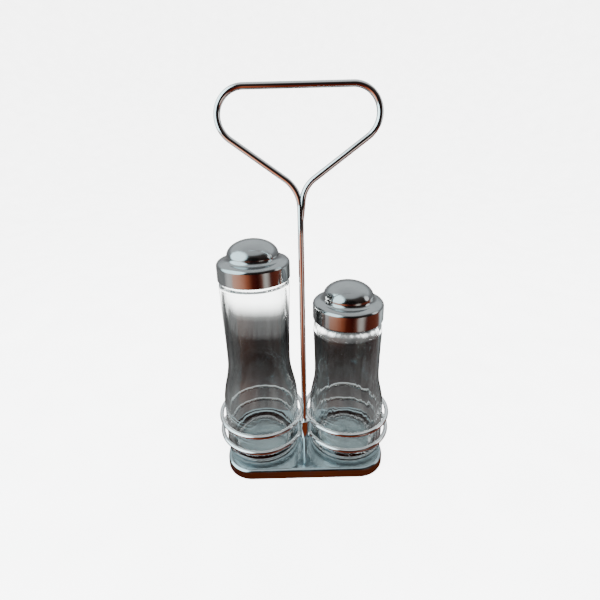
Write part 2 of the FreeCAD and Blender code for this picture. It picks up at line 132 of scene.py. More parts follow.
def turned(outline, sides=160, closed=False, relief=None):
    """Mesh of an outline turned about the upright axis.

    An end at radius 0 closes to a point, and a closed outline joins its last point to its first. Relief gives
    how far the surface stands out of the outline at an angle, radius and height.
    """
    mesh = bmesh.new()
    rows = []
    for radius, height in without_doubles(outline):
        if radius < 1e-4:
            rows.append([mesh.verts.new((0.0, 0.0, height))])
            continue
        row = []
        for side in range(sides):
            angle = 2 * math.pi * side / sides
            reach = radius + (relief(angle, radius, height) if relief else 0.0)
            row.append(mesh.verts.new((reach * math.cos(angle), reach * math.sin(angle), height)))
        rows.append(row)
    pairs = list(zip(rows, rows[1:]))
    if closed:
        pairs.append((rows[-1], rows[0]))
    for first, second in pairs:
        for side in range(sides):
            after = (side + 1) % sides
            corners = [first[side % len(first)], first[after % len(first)],
                       second[after % len(second)], second[side % len(second)]]
            mesh.faces.new(list(dict.fromkeys(corners)))
    return mesh


def ridge(angle, height, start, pitch, turns, root, crest, depth, fade=0.06):
    """How far a screw thread's ridge, which starts at angle 0 and runs out softly, stands out at a place."""
    best = 0.0
    for lap in range(int(turns) + 2):
        turn = lap + angle / (2 * math.pi)
        if turn > turns:
            continue
        off = abs(height - start - pitch * turn)
        flank = min(1.0, max(0.0, (root / 2 - off) / ((root - crest) / 2)))
        ends = min(1.0, turn / fade, (turns - turn) / fade)
        best = max(best, depth * flank * flank * (3 - 2 * flank) * math.sin(ends * math.pi / 2))
    return best


# ---- materials ----

def linear(code):
    """Linear colour of an sRGB hex value."""
    channels = [int(code[i:i + 2], 16) / 255 for i in (0, 2, 4)]
    return tuple(c / 12.92 if c <= 0.04045 else ((c + 0.055) / 1.055) ** 2.4 for c in channels) + (1.0,)


def add(tree, kind, inputs=None, stops=(), **settings):
    """Node with its settings, its ramp's stops, and its inputs as values or as links from other nodes."""
    node = tree.nodes.new(kind)
    for name, value in settings.items():
        setattr(node, name, value)
    if stops:
        ramp = node.color_ramp.elements
        ramp[0].position, ramp[0].color = stops[0][0], linear(stops[0][1])
        ramp[1].position, ramp[1].color = stops[-1][0], linear(stops[-1][1])
        for place, code in stops[1:-1]:
            ramp.new(place).color = linear(code)
    for name, value in (inputs or {}).items():
        if isinstance(value, bpy.types.NodeSocket):
            tree.links.new(value, node.inputs[name])
        else:
            node.inputs[name].default_value = value
    return node


def per(size):
    """Pattern scale for features about this many millimetres across."""
    return 1.0 / (size * MM)


def new_finish(name):
    """Empty material with its tree, its shader and the surface's own coordinates."""
    material = bpy.data.materials.new(name)
    material.use_nodes = True
    tree = material.node_tree
    return material, tree, tree.nodes["Principled BSDF"], add(tree, "ShaderNodeTexCoord").outputs["Object"]


def chromium_plate(name, clean, hazed, smooth, dull, smudge, line, stretch, depth):
    """Bright chromium plate: a near-mirror, cool grey, hazed in patches, with the metal's own lines under it.

    Smudge and line are sizes and depth a height, in millimetres, and stretch draws the lines out along an axis.
    """
    material, tree, shader, place = new_finish(name)
    haze = add(tree, "ShaderNodeTexNoise", {"Vector": place, "Scale": per(smudge), "Detail": 5.0,
                                            "Roughness": 0.6})
    tint = add(tree, "ShaderNodeMix", {"Factor": haze.outputs["Fac"], "A": linear(clean), "B": linear(hazed)},
               data_type="RGBA")
    gloss = add(tree, "ShaderNodeMapRange", {"Value": haze.outputs["Fac"], "From Min": 0.35, "From Max": 0.75,
                                             "To Min": smooth, "To Max": dull})
    drawn = add(tree, "ShaderNodeMapping", {"Vector": place, "Scale": stretch})
    lines = add(tree, "ShaderNodeTexNoise", {"Vector": drawn.outputs["Vector"], "Scale": per(line),
                                             "Detail": 3.0})
    bump = add(tree, "ShaderNodeBump", {"Height": lines.outputs["Fac"], "Strength": 0.2,
                                        "Distance": depth * MM})
    tree.links.new(tint.outputs["Result"], shader.inputs["Base Color"])
    tree.links.new(gloss.outputs["Result"], shader.inputs["Roughness"])
    tree.links.new(bump.outputs["Normal"], shader.inputs["Normal"])
    shader.inputs["Metallic"].default_value = 1.0
    return material


def soda_glass(name, wave):
    """Pressed soda-lime glass: clear, thick and faintly grey, with soft upright waves that streak what shows."""
    material, tree, shader, place = new_finish(name)
    upright = add(tree, "ShaderNodeMapping", {"Vector": place, "Scale": (1.0, 1.0, 0.07)})
    waves = add(tree, "ShaderNodeTexNoise", {"Vector": upright.outputs["Vector"], "Scale": per(5.0),
                                             "Detail": 2.5})
    bump = add(tree, "ShaderNodeBump", {"Height": waves.outputs["Fac"], "Strength": 0.6, "Distance": wave * MM})
    tree.links.new(bump.outputs["Normal"], shader.inputs["Normal"])
    shader.inputs["Base Color"].default_value = linear("f0f2f1")
    shader.inputs["Roughness"].default_value = 0.0
    shader.inputs["IOR"].default_value = 1.52
    shader.inputs["Transmission Weight"].default_value = 1.0
    return material


def moulded_plastic(name, colour, shade, roughness, grain, milky):
    """Injection-moulded polyolefin: milky with a soft sheen, a fine mould grain and a little light let in."""
    material, tree, shader, place = new_finish(name)
    cloud = add(tree, "ShaderNodeTexNoise", {"Vector": place, "Scale": per(9.0), "Detail": 3.0})
    tint = add(tree, "ShaderNodeMix", {"Factor": cloud.outputs["Fac"], "A": linear(colour), "B": linear(shade)},
               data_type="RGBA")
    pits = add(tree, "ShaderNodeTexNoise", {"Vector": place, "Scale": per(grain), "Detail": 4.0})
    bump = add(tree, "ShaderNodeBump", {"Height": pits.outputs["Fac"], "Strength": 0.3,
                                        "Distance": 0.05 * MM})
    tree.links.new(tint.outputs["Result"], shader.inputs["Base Color"])
    tree.links.new(bump.outputs["Normal"], shader.inputs["Normal"])
    shader.inputs["Roughness"].default_value = roughness
    shader.inputs["IOR"].default_value = 1.49
    shader.inputs["Subsurface Weight"].default_value = milky
    shader.inputs["Subsurface Radius"].default_value = (1.2 * MM, 1.1 * MM, 1.0 * MM)
    return material


def zinc_plate(name):
    """Zinc-plated steel: dull blue-grey with a mottled skin. The mottle is drawn coarser than its real grain."""
    material, tree, shader, place = new_finish(name)
    mottle = add(tree, "ShaderNodeTexVoronoi", {"Vector": place, "Scale": per(0.9)})
    tint = add(tree, "ShaderNodeMix", {"Factor": mottle.outputs["Distance"], "A": linear("a9adb1"),
                                       "B": linear("8d8f8c")}, data_type="RGBA")
    grain = add(tree, "ShaderNodeTexNoise", {"Vector": place, "Scale": per(0.3), "Detail": 4.0})
    bump = add(tree, "ShaderNodeBump", {"Height": grain.outputs["Fac"], "Strength": 0.3,
                                        "Distance": 0.03 * MM})
    tree.links.new(tint.outputs["Result"], shader.inputs["Base Color"])
    tree.links.new(bump.outputs["Normal"], shader.inputs["Normal"])
    shader.inputs["Metallic"].default_value = 1.0
    shader.inputs["Roughness"].default_value = 0.38
    return material


# the draw lines of the wire, the rolling lines of the sheet and the spinning lines of the caps are a few
# hundredths of a millimetre apart, and are drawn far coarser so that they show as a faint sheen
wire_chrome = chromium_plate("chromium_on_drawn_wire", clean="f6f7f7", hazed="e3e5e6", smooth=0.05, dull=0.12,
                             smudge=7.0, line=0.8, stretch=(1, 1, 1), depth=0.004)
tray_chrome = chromium_plate("chromium_on_rolled_sheet", clean="c3d2d7", hazed="9fb0b6", smooth=0.1, dull=0.3,
                             smudge=18.0, line=4.0, stretch=(0.05, 1, 1), depth=0.003)
cap_chrome = chromium_plate("chromium_on_spun_cap", clean="b6b8b9", hazed="9ea1a2", smooth=0.09, dull=0.2,
                            smudge=9.0, line=1.0, stretch=(0.2, 0.2, 1), depth=0.004)
tall_jar_glass = soda_glass("smooth_soda_glass", wave=0.15)
short_jar_glass = soda_glass("wavy_soda_glass", wave=0.5)
liner_plastic = moulded_plastic("white_polypropylene", colour="ecebe6", shade="e0dfd9", roughness=0.45,
                                grain=0.3, milky=0.05)
plug_plastic = moulded_plastic("natural_polyethylene", colour="e9ebe8", shade="dcdfdb", roughness=0.38,
                               grain=0.5, milky=0.12)
seal_foam = moulded_plastic("closed_cell_foam", colour="dedcd4", shade="cfcdc5", roughness=0.75,
                            grain=0.45, milky=0.1)
zinc = zinc_plate("zinc_plated_steel")


# ---- stand ----

TRAY_CORNER = 18.0
TRAY_ROLL = 2.2
TRAY_SHEET = 0.9
TRAY_FLAT = 3.0              # band of flat top between the rolled edge and the middle


def tray_row(mesh, inset, height, steps=24):
    """Points round the tray's rounded outline, set in from its edge."""
    half = (high("base_tray") - low("base_tray")) / 2
    corner = TRAY_CORNER - inset
    row = []
    for quarter, (x_side, y_side) in enumerate(((1, 1), (-1, 1), (-1, -1), (1, -1))):
        x = x_side * (half.x - TRAY_CORNER)
        y = y_side * (half.y - TRAY_CORNER)
        for px, py in bend((x, y), corner, 90 * quarter, 90 * quarter + 90, steps):
            row.append(mesh.verts.new((px, py, height)))
    return row


def tray():
    """Pressed sheet: flat top, rolled edge, skirt with a rounded lower edge, and the same form underneath."""
    mesh = bmesh.new()
    lip = TRAY_SHEET / 2
    roll_height = TRAY_TOP - TRAY_ROLL
    outline = [(TRAY_ROLL + TRAY_FLAT, TRAY_TOP)]
    outline += [(TRAY_ROLL - x, roll_height + z) for x, z in bend((0, 0), TRAY_ROLL, 90, 0, 14)]
    outline += [(lip - x, lip + z) for x, z in bend((0, 0), lip, 0, -180, 10)]
    outline += [(TRAY_ROLL - x, roll_height + z) for x, z in bend((0, 0), TRAY_ROLL - TRAY_SHEET, 0, 90, 8)]
    outline += [(TRAY_ROLL + TRAY_FLAT, TRAY_TOP - TRAY_SHEET)]
    rows = [tray_row(mesh, inset, height) for inset, height in outline]
    count = len(rows[0])
    for first, second in zip(rows, rows[1:]):
        for index in range(count):
            after = (index + 1) % count
            mesh.faces.new((first[index], first[after], second[after], second[index]))
    mesh.faces.new(rows[0])
    mesh.faces.new(rows[-1])
    finished("tray", mesh, "stand", tray_chrome, stands_for=["base_tray"])


HANDLE_CORNER = 14.0
HANDLE_SLOPE = 36.3          # degrees that the branches rise from level
POST_BEND = 20.0
END_BEND = 16.0
END_LEAN = 6.0               # degrees from upright that the welded end runs into the post
END_DROP = 19.0              # from where the branches would cross to where the welded end reaches the post
WELD_THINNING = 0.88         # share of the wire's thickness left at its welded end
WELD_STEPS = 6
BAR_JOIN = 2.0               # from the middle of the bar to where each half's outline ends


def handle_corner():
    """Centre of the right top corner's bend, as (distance from the post, height)."""
    return (high("handle_wire").x - WIRE_RADIUS - HANDLE_CORNER,
            high("handle_wire").z - WIRE_RADIUS - HANDLE_CORNER)


def branch_foot():
    """Where a branch's straight rise ends at its top corner."""
    x, z = handle_corner()
    slope = math.radians(HANDLE_SLOPE)
    return (x + HANDLE_CORNER * math.sin(slope), z - HANDLE_CORNER * math.cos(slope))


def end_height():
    """Height at which the welded end reaches the post's middle."""
    x, z = branch_foot()
    return z - x * math.tan(math.radians(HANDLE_SLOPE)) - END_DROP


def handle_branch(bend_radius, lean_degrees):
    """Points of the right branch, from the post's middle up round its top corner and along part of the bar."""
    slope = math.radians(HANDLE_SLOPE)
    lean = math.radians(lean_degrees)
    foot = branch_foot()
    corner = handle_corner()
    meet_x = END_DROP * math.tan(lean) / (1 - math.tan(slope) * math.tan(lean))
    meet_z = foot[1] - (foot[0] - meet_x) * math.tan(slope)
    turn = 90 - HANDLE_SLOPE - lean_degrees
    reach = bend_radius * math.tan(math.radians(turn) / 2)
    start = (meet_x - reach * math.sin(lean), meet_z - reach * math.cos(lean))
    centre = (start[0] + bend_radius * math.cos(lean), start[1] - bend_radius * math.sin(lean))
    points = straight((0.0, end_height()), start, 10)
    points += bend(centre, bend_radius, 180 - lean_degrees, 90 + HANDLE_SLOPE, 20)
    points += straight(points[-1], foot, 10)
    points += bend(corner, HANDLE_CORNER, HANDLE_SLOPE - 90, 90, 40)
    points += straight(points[-1], (BAR_JOIN, corner[1] + HANDLE_CORNER), 8)
    return without_doubles(points)


def wire_along(path, radii, sides=32):
    """Round wire along (x, height) points in the handle's plane, closed at both ends."""
    mesh = bmesh.new()
    rows = []
    for index, point in enumerate(path):
        before = path[max(index - 1, 0)]
        after = path[min(index + 1, len(path) - 1)]
        along = Vector((after[0] - before[0], 0.0, after[1] - before[1])).normalized()
        across = Vector((0.0, 1.0, 0.0))
        outward = along.cross(across)
        row = []
        for side in range(sides):
            angle = 2 * math.pi * side / sides
            offset = math.cos(angle) * outward + math.sin(angle) * across
            row.append(mesh.verts.new(Vector((point[0], POST_Y, point[1])) + radii[index] * offset))
        rows.append(row)
    for first, second in zip(rows, rows[1:]):
        for side in range(sides):
            after = (side + 1) % sides
            mesh.faces.new((first[side], first[after], second[after], second[side]))
    mesh.faces.new(rows[0])
    mesh.faces.new(rows[-1])
    return mesh


def handle():
    """Bent wire: post, left branch, bar, right branch, and the end that thins into its weld on the post."""
    left = [(-x, z) for x, z in handle_branch(POST_BEND, 0.0)]
    right = list(reversed(handle_branch(END_BEND, END_LEAN)))
    path = without_doubles(straight((0.0, TRAY_TOP), (0.0, end_height()), 30) + left + right)
    radii = [WIRE_RADIUS] * len(path)
    for step in range(WELD_STEPS):
        radii[-1 - step] = WIRE_RADIUS * (WELD_THINNING + (1 - WELD_THINNING) * step / WELD_STEPS)
    finished("handle_bent_wire", wire_along(path, radii), "stand", wire_chrome,
             stands_for=["handle_wire"])
    threaded_foot()


FOOT_STEP = 0.25             # threaded foot's radius under the post's
FOOT_PITCH = 0.5
FOOT_GROOVE = 0.3            # depth of the foot's thread


def threaded_foot():
    """The post's threaded end under the tray, chamfered at its tip."""
    bottom = low("handle_wire").z
    top = TRAY_TOP + WIRE_RADIUS / 2
    radius = WIRE_RADIUS - FOOT_STEP
    outline = [(0.0, bottom), (radius - 2 * FOOT_GROOVE, bottom)]
    outline += straight((radius - FOOT_GROOVE, bottom + FOOT_GROOVE), (radius - FOOT_GROOVE, top), 60)
    outline += [(0.0, top)]

    def groove(angle, reach, height):
        share = ((height - bottom) / FOOT_PITCH - angle / (2 * math.pi)) % 1.0
        return FOOT_GROOVE * (1 - abs(2 * share - 1)) if bottom + FOOT_GROOVE < height < top else 0.0

    finished("post_threaded_foot", turned(outline, sides=48, relief=groove), "stand", zinc,
             at=(0.0, POST_Y, 0.0), sharp=60.0)


def rings():
    """The four wire rings, each a closed hoop."""
    for node in ("tall_ring_lower", "tall_ring_upper", "short_ring_lower", "short_ring_upper"):
        centre = middle(node)
        hoop = radius_of(node) - RING_WIRE_RADIUS
        section = bend((hoop, 0.0), RING_WIRE_RADIUS, 0, 360, 32)[:-1]
        finished(node + "_hoop", turned(section, sides=288, closed=True), "stand", wire_chrome,
                 at=(centre.x, centre.y, centre.z), stands_for=[node])


SLEEVE_EDGE = 0.6
WASHER_EDGE = 0.15


def collar():
    """Sleeve on the post, its ends rounded over."""
    bottom = low("ring_collar").z
    top = high("ring_collar").z
    radius = POST_Y - low("ring_collar").y
    outline = [(WIRE_RADIUS, bottom)]
    outline += bend((radius - SLEEVE_EDGE, bottom + SLEEVE_EDGE), SLEEVE_EDGE, -90, 0, 6)
    outline += bend((radius - SLEEVE_EDGE, top - SLEEVE_EDGE), SLEEVE_EDGE, 0, 90, 6)
    outline += [(WIRE_RADIUS, top)]
    finished("post_sleeve", turned(outline, sides=64, closed=True), "stand", wire_chrome,
             at=(0.0, POST_Y, 0.0), stands_for=["ring_collar"])


def washer_and_nut():
    """Washer and hexagon nut on the threaded foot, with rounded and chamfered edges."""
    bottom = low("post_washer").z
    top = high("post_washer").z
    rim = radius_of("post_washer")
    bore = WIRE_RADIUS - FOOT_STEP
    outline = [(bore, bottom)] + bend((rim - WASHER_EDGE, bottom + WASHER_EDGE), WASHER_EDGE, -90, 0, 4)
    outline += bend((rim - WASHER_EDGE, top - WASHER_EDGE), WASHER_EDGE, 0, 90, 4) + [(bore, top)]
    finished("washer", turned(outline, sides=64, closed=True), "stand", zinc,
             at=(0.0, POST_Y, 0.0), stands_for=["post_washer"])

    bottom = low("post_nut").z
    top = high("post_nut").z
    corner = radius_of("post_nut")
    flat = corner * math.sqrt(3) / 2

    def hexagon(angle, reach, height):
        turn = (angle + math.pi / 6) % (math.pi / 3) - math.pi / 6
        across = flat / math.cos(math.pi / 6 - abs(turn))
        return min(0.0, across - reach)

    chamfer = corner - flat
    outline = [(bore, bottom), (flat, bottom), (corner, bottom + chamfer / 2)]
    outline += straight((corner, bottom + chamfer / 2), (corner, top - chamfer / 2), 4)
    outline += [(flat, top), (bore, top)]
    finished("nut", turned(outline, sides=144, closed=True, relief=hexagon), "stand", zinc,
             at=(0.0, POST_Y, 0.0), sharp=25.0, stands_for=["post_nut"])


# ---- jars ----

GLASS_WALL = 2.6
GLASS_BASE = 5.5
HEEL = 2.6
PUNT_MARGIN = 6.2
PUNT_DEPTH = 1.0
PUNT_SLOPE = (1.6, 0.8, 0.6, -0.4)   # how far inside the punt's margin the four poles of its side lie
FLAT_MIDDLE = 4.0            # radius of the base's middle, which is one flat disc
NECK_RADIUS = 18.6
NECK_HEIGHT = 7.6
RIM = 0.7
THREAD_PITCH = 3.6
THREAD_DEPTH = 1.1
THREAD_ROOT = 1.7
THREAD_CREST = 0.9
NECK_THREAD_START = 1.9
NECK_THREAD_TURNS = 1.15
DRAW_PULL = 0.42             # how far poles stand off the ends of the draw's curve, as a share of its height
SWELL_PULL = 0.35            # the same over the waist
SHOULDER_PULL = 0.25         # the same under and over the shoulder
SHOULDER_TUCK = 0.3          # how far inside the shoulder the pole under it lies
NECK_PULL = 1.2              # how far inside the shoulder, or outside the bore, the pole by the neck lies
THROAT_RISE = 1.0            # from the shoulder's underside to where the bore starts

# body top, waist radius, waist height, shoulder radius and shoulder drop, heights above the foot
JAR_FORMS = {
    "tall": (35.0, 20.7, 68.0, 22.0, 4.6),
    "short": (28.6, 21.55, 57.0, 22.2, 10.0),
}


def jar(name, material):
    """Glass jar: punted thick base, straight body, drawn-in waist, shoulder and threaded neck."""
    node = name + "_glass"
    body_top, waist, waist_height, shoulder, shoulder_drop = JAR_FORMS[name]
    foot = radius_of(node)
    mouth = high(node).z - low(node).z
    height = mouth - NECK_HEIGHT
    shoulder_height = height - shoulder_drop
    draw = waist_height - body_top
    swell = shoulder_height - waist_height
    bore = NECK_RADIUS - GLASS_WALL
    throat = height - GLASS_WALL
    inside = foot - GLASS_WALL
    inner_waist = waist - GLASS_WALL
    inner_shoulder = shoulder - GLASS_WALL

    outline = [(0.0, PUNT_DEPTH)]
    punt = [foot - PUNT_MARGIN - inwards for inwards in PUNT_SLOPE]
    outline += straight((FLAT_MIDDLE, PUNT_DEPTH), (punt[0], PUNT_DEPTH), 3)
    outline += flow([(punt[0], PUNT_DEPTH), (punt[1], PUNT_DEPTH), (punt[2], 0.0), (punt[3], 0.0)], 8)
    outline += bend((foot - HEEL, HEEL), HEEL, -90, 0, 14)
    outline += straight((foot, HEEL), (foot, body_top), 12)
    outline += flow([(foot, body_top), (foot, body_top + DRAW_PULL * draw),
                     (waist, waist_height - DRAW_PULL * draw), (waist, waist_height)])
    outline += flow([(waist, waist_height), (waist, waist_height + SWELL_PULL * swell),
                     (shoulder - SHOULDER_TUCK, shoulder_height - SHOULDER_PULL * swell),
                     (shoulder, shoulder_height)])
    outline += flow([(shoulder, shoulder_height), (shoulder, height - SHOULDER_PULL * shoulder_drop),
                     (shoulder - NECK_PULL, height), (NECK_RADIUS, height)])
    outline += straight((NECK_RADIUS, height), (NECK_RADIUS, mouth - RIM), 44)
    outline += bend((NECK_RADIUS - RIM, mouth - RIM), RIM, 0, 90, 8)
    outline += bend((bore + RIM / 2, mouth - RIM / 2), RIM / 2, 90, 180, 6)
    outline += straight((bore, mouth - RIM / 2), (bore, throat + THROAT_RISE), 8)
    outline += flow([(bore, throat + THROAT_RISE), (bore + NECK_PULL, throat),
                     (inner_shoulder, throat - SHOULDER_PULL * (throat - shoulder_height)),
                     (inner_shoulder, shoulder_height)])
    outline += flow([(inner_shoulder, shoulder_height),
                     (inner_shoulder - SHOULDER_TUCK, shoulder_height - SHOULDER_PULL * swell),
                     (inner_waist, waist_height + SWELL_PULL * swell), (inner_waist, waist_height)])
    outline += flow([(inner_waist, waist_height), (inner_waist, waist_height - DRAW_PULL * draw),
                     (inside, body_top + DRAW_PULL * draw), (inside, body_top)])
    outline += straight((inside, body_top), (inside, GLASS_BASE + HEEL), 10)
    outline += bend((inside - HEEL, GLASS_BASE + HEEL), HEEL, 0, -90, 10)
    outline += straight((inside - HEEL, GLASS_BASE), (FLAT_MIDDLE, GLASS_BASE), 4)
    outline += [(0.0, GLASS_BASE)]

    def neck_thread(angle, reach, level):
        if abs(reach - NECK_RADIUS) > 1e-3 or level <= height:
            return 0.0
        return ridge(angle, level - height, NECK_THREAD_START, THREAD_PITCH, NECK_THREAD_TURNS,
                     THREAD_ROOT, THREAD_CREST, THREAD_DEPTH)

    centre = middle(node)
    finished(name + "_jar_glass", turned(outline, sides=192, relief=neck_thread), name + "_jar",
             material, at=(centre.x, centre.y, low(node).z), stands_for=[node])


# ---- caps, with heights above the cap's lower edge ----

CAP_BAND = 9.0
CAP_EDGE = 2.4
CAP_SHEET = 0.5
DOME_STEP = 6.6              # dome's radius under the cap's
DOME_RISE = 9.46
DOME_FOOT = 2.6
SHOULDER_RISE = 0.54
SHOULDER_SLOPE = 8.0


def cap_outline(cap_radius, inset):
    """Cap's sheet from the crown down to the end of the straight band, outside or set in by its thickness."""
    base = CAP_BAND + CAP_EDGE + SHOULDER_RISE + DOME_FOOT
    radius = cap_radius - DOME_STEP - inset
    rise = DOME_RISE - inset
    outline = [(radius * x, base + rise * z) for x, z in bend((0.0, 0.0), 1.0, 90, 0, 56)]
    outline += bend((cap_radius - DOME_STEP + DOME_FOOT, base), DOME_FOOT + inset, 180, 270, 14)
    outline += bend((cap_radius - CAP_EDGE, CAP_BAND), CAP_EDGE - inset, 90 - SHOULDER_SLOPE, 0, 14)
    outline[0] = (0.0, base + rise)
    return outline


def cap(name):
    """Chromed sheet cap: dome, concave foot, sloping shoulder, rounded edge, band, and a rounded lower edge."""
    node = name + "_cap_shell"
    radius = radius_of(node)
    hem = CAP_SHEET / 2
    outline = cap_outline(radius, 0.0)
    outline += straight((radius, CAP_BAND), (radius, 2 * hem), 6)
    outline += bend((radius - hem, hem), hem, 0, -180, 8)
    outline += list(reversed(cap_outline(radius, CAP_SHEET)))
    centre = middle(node)
    finished(name + "_cap_chrome", turned(outline, sides=192), name + "_cap", cap_chrome,
             at=(centre.x, centre.y, low(node).z), stands_for=[node])


LINER_OPENING = 12.5
LINER_FLANGE_BOTTOM = 9.2
LINER_EDGE = 0.3
LINER_FLANGE = 1.5
LINER_WALL = 1.95
LINER_THREAD_PHASE = 0.55
LINER_THREAD_TURNS = 1.0
THREAD_DROP = 1.5            # liner's thread under the neck's
CAP_LIFT = 0.5


def liner(name):
    """Threaded plastic liner that fills the cap's band."""
    node = name + "_cap_liner"
    outer = radius_of(node)
    bore = outer - LINER_WALL
    bottom = low(node).z - low(name + "_cap_shell").z
    top = LINER_FLANGE_BOTTOM + LINER_FLANGE
    edge_inside = CAP_EDGE - CAP_SHEET
    rise = math.degrees(math.asin((top - CAP_BAND) / edge_inside))
    outline = [(LINER_OPENING, top)]
    outline += bend((outer - edge_inside, CAP_BAND), edge_inside, rise, 0, 8)
    outline += bend((outer - LINER_EDGE, bottom + LINER_EDGE), LINER_EDGE, 0, -90, 4)
    outline += bend((bore + LINER_EDGE, bottom + LINER_EDGE), LINER_EDGE, -90, -180, 4)
    outline += straight((bore, bottom + LINER_EDGE), (bore, LINER_FLANGE_BOTTOM), 44)
    outline += [(LINER_OPENING, LINER_FLANGE_BOTTOM)]
    start = NECK_THREAD_START - CAP_LIFT - THREAD_DROP + THREAD_PITCH * LINER_THREAD_PHASE

    def liner_thread(angle, reach, level):
        if abs(reach - bore) > 1e-3:
            return 0.0
        turned_angle = (angle - 2 * math.pi * LINER_THREAD_PHASE) % (2 * math.pi)
        return -ridge(turned_angle, level, start, THREAD_PITCH, LINER_THREAD_TURNS,
                      THREAD_ROOT, THREAD_CREST, THREAD_DEPTH)

    centre = middle(node)
    finished(name + "_liner", turned(outline, sides=160, closed=True, relief=liner_thread), name + "_cap",
             liner_plastic, at=(centre.x, centre.y, low(name + "_cap_shell").z),
             stands_for=[node])


SEAL_WIDTH = 5.0
SEAL_EDGE = 0.3


def seal(name):
    """Soft sealing ring with rounded edges."""
    node = name + "_cap_seal"
    outer = radius_of(node)
    thickness = high(node).z - low(node).z
    inner = outer - SEAL_WIDTH
    outline = bend((outer - SEAL_EDGE, SEAL_EDGE), SEAL_EDGE, -90, 0, 5)
    outline += bend((outer - SEAL_EDGE, thickness - SEAL_EDGE), SEAL_EDGE, 0, 90, 5)
    outline += bend((inner + SEAL_EDGE, thickness - SEAL_EDGE), SEAL_EDGE, 90, 180, 5)
    outline += bend((inner + SEAL_EDGE, SEAL_EDGE), SEAL_EDGE, 180, 270, 5)
    centre = middle(node)
    finished(name + "_seal_ring", turned(outline, sides=128, closed=True), name + "_seal",
             seal_foam, at=(centre.x, centre.y, low(node).z), stands_for=[node])


def carried_over(node, material):
    """A CAD node that keeps its own mesh, smooth but for its sharp edges, in a better finish."""
    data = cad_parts[node].data
    data.shade_smooth()
    data.set_sharp_from_angle(angle=math.radians(35))
    data.materials.clear()
    data.materials.append(material)


tray()
handle()
rings()
collar()
washer_and_nut()
for jar_name, glass in (("tall", tall_jar_glass), ("short", short_jar_glass)):
    jar(jar_name, glass)
    cap(jar_name)
    liner(jar_name)
    seal(jar_name)
carried_over("tall_pourer_plug", plug_plastic)
carried_over("short_sifter_plug", plug_plastic)


# ---- floor, room and lights ----

def show_only(thing, kinds):
    """Lets only the named kinds of ray see a stage piece or a lamp."""
    thing.visible_camera = "camera" in kinds
    thing.visible_diffuse = "diffuse" in kinds
    thing.visible_glossy = "glossy" in kinds
    thing.visible_transmission = "transmission" in kinds
    thing.visible_shadow = "shadow" in kinds


def stage_piece(name, mesh, material, kinds, at=(0.0, 0.0, 0.0), turn=(0.0, 0.0, 0.0)):
    """Piece of the room, made of a mesh in millimetres and seen only by the named kinds of ray."""
    bmesh.ops.scale(mesh, vec=(MM, MM, MM), verts=mesh.verts)
    data = bpy.data.meshes.new(name)
    mesh.to_mesh(data)
    mesh.free()
    data.shade_smooth()
    data.materials.append(material)
    piece = bpy.data.objects.new(name, data)
    piece.location = Vector(at) * MM
    piece.rotation_euler = turn
    bpy.context.scene.collection.objects.link(piece)
    show_only(piece, kinds)


def glowing(tree, shader, colour, strength):
    """Makes a stage surface shine in a colour of its own, whatever light falls on it."""
    tree.links.new(colour, shader.inputs["Emission Color"])
    shader.inputs["Emission Strength"].default_value = strength
    shader.inputs["Base Color"].default_value = (0.0, 0.0, 0.0, 1.0)
    shader.inputs["Specular IOR Level"].default_value = 0.0


def pale_paper():
    """Seamless paper: a pale floor that curves up into a pale background, with a faint mottle."""
    material, tree, shader, place = new_finish("pale_seamless_paper")
    mottle = add(tree, "ShaderNodeTexNoise", {"Vector": place, "Scale": per(40.0), "Detail": 3.0})
    tint = add(tree, "ShaderNodeValToRGB", {"Fac": mottle.outputs["Fac"]},
               stops=[(0.3, "f4f4f4"), (0.7, "fbfbfb")]).outputs["Color"]
    tree.links.new(tint, shader.inputs["Base Color"])
    tree.links.new(tint, shader.inputs["Emission Color"])
    shader.inputs["Emission Strength"].default_value = 6.0
    shader.inputs["Roughness"].default_value = 0.9
    outline = [(0.0, 0.0), (900.0, 0.0)] + bend((900.0, 1200.0), 1200.0, -90, 0, 24) + [(2100.0, 3500.0)]
    stage_piece("pale_paper_sweep", turned(outline, sides=96), material, ("camera",), at=(0, 0, -0.2))


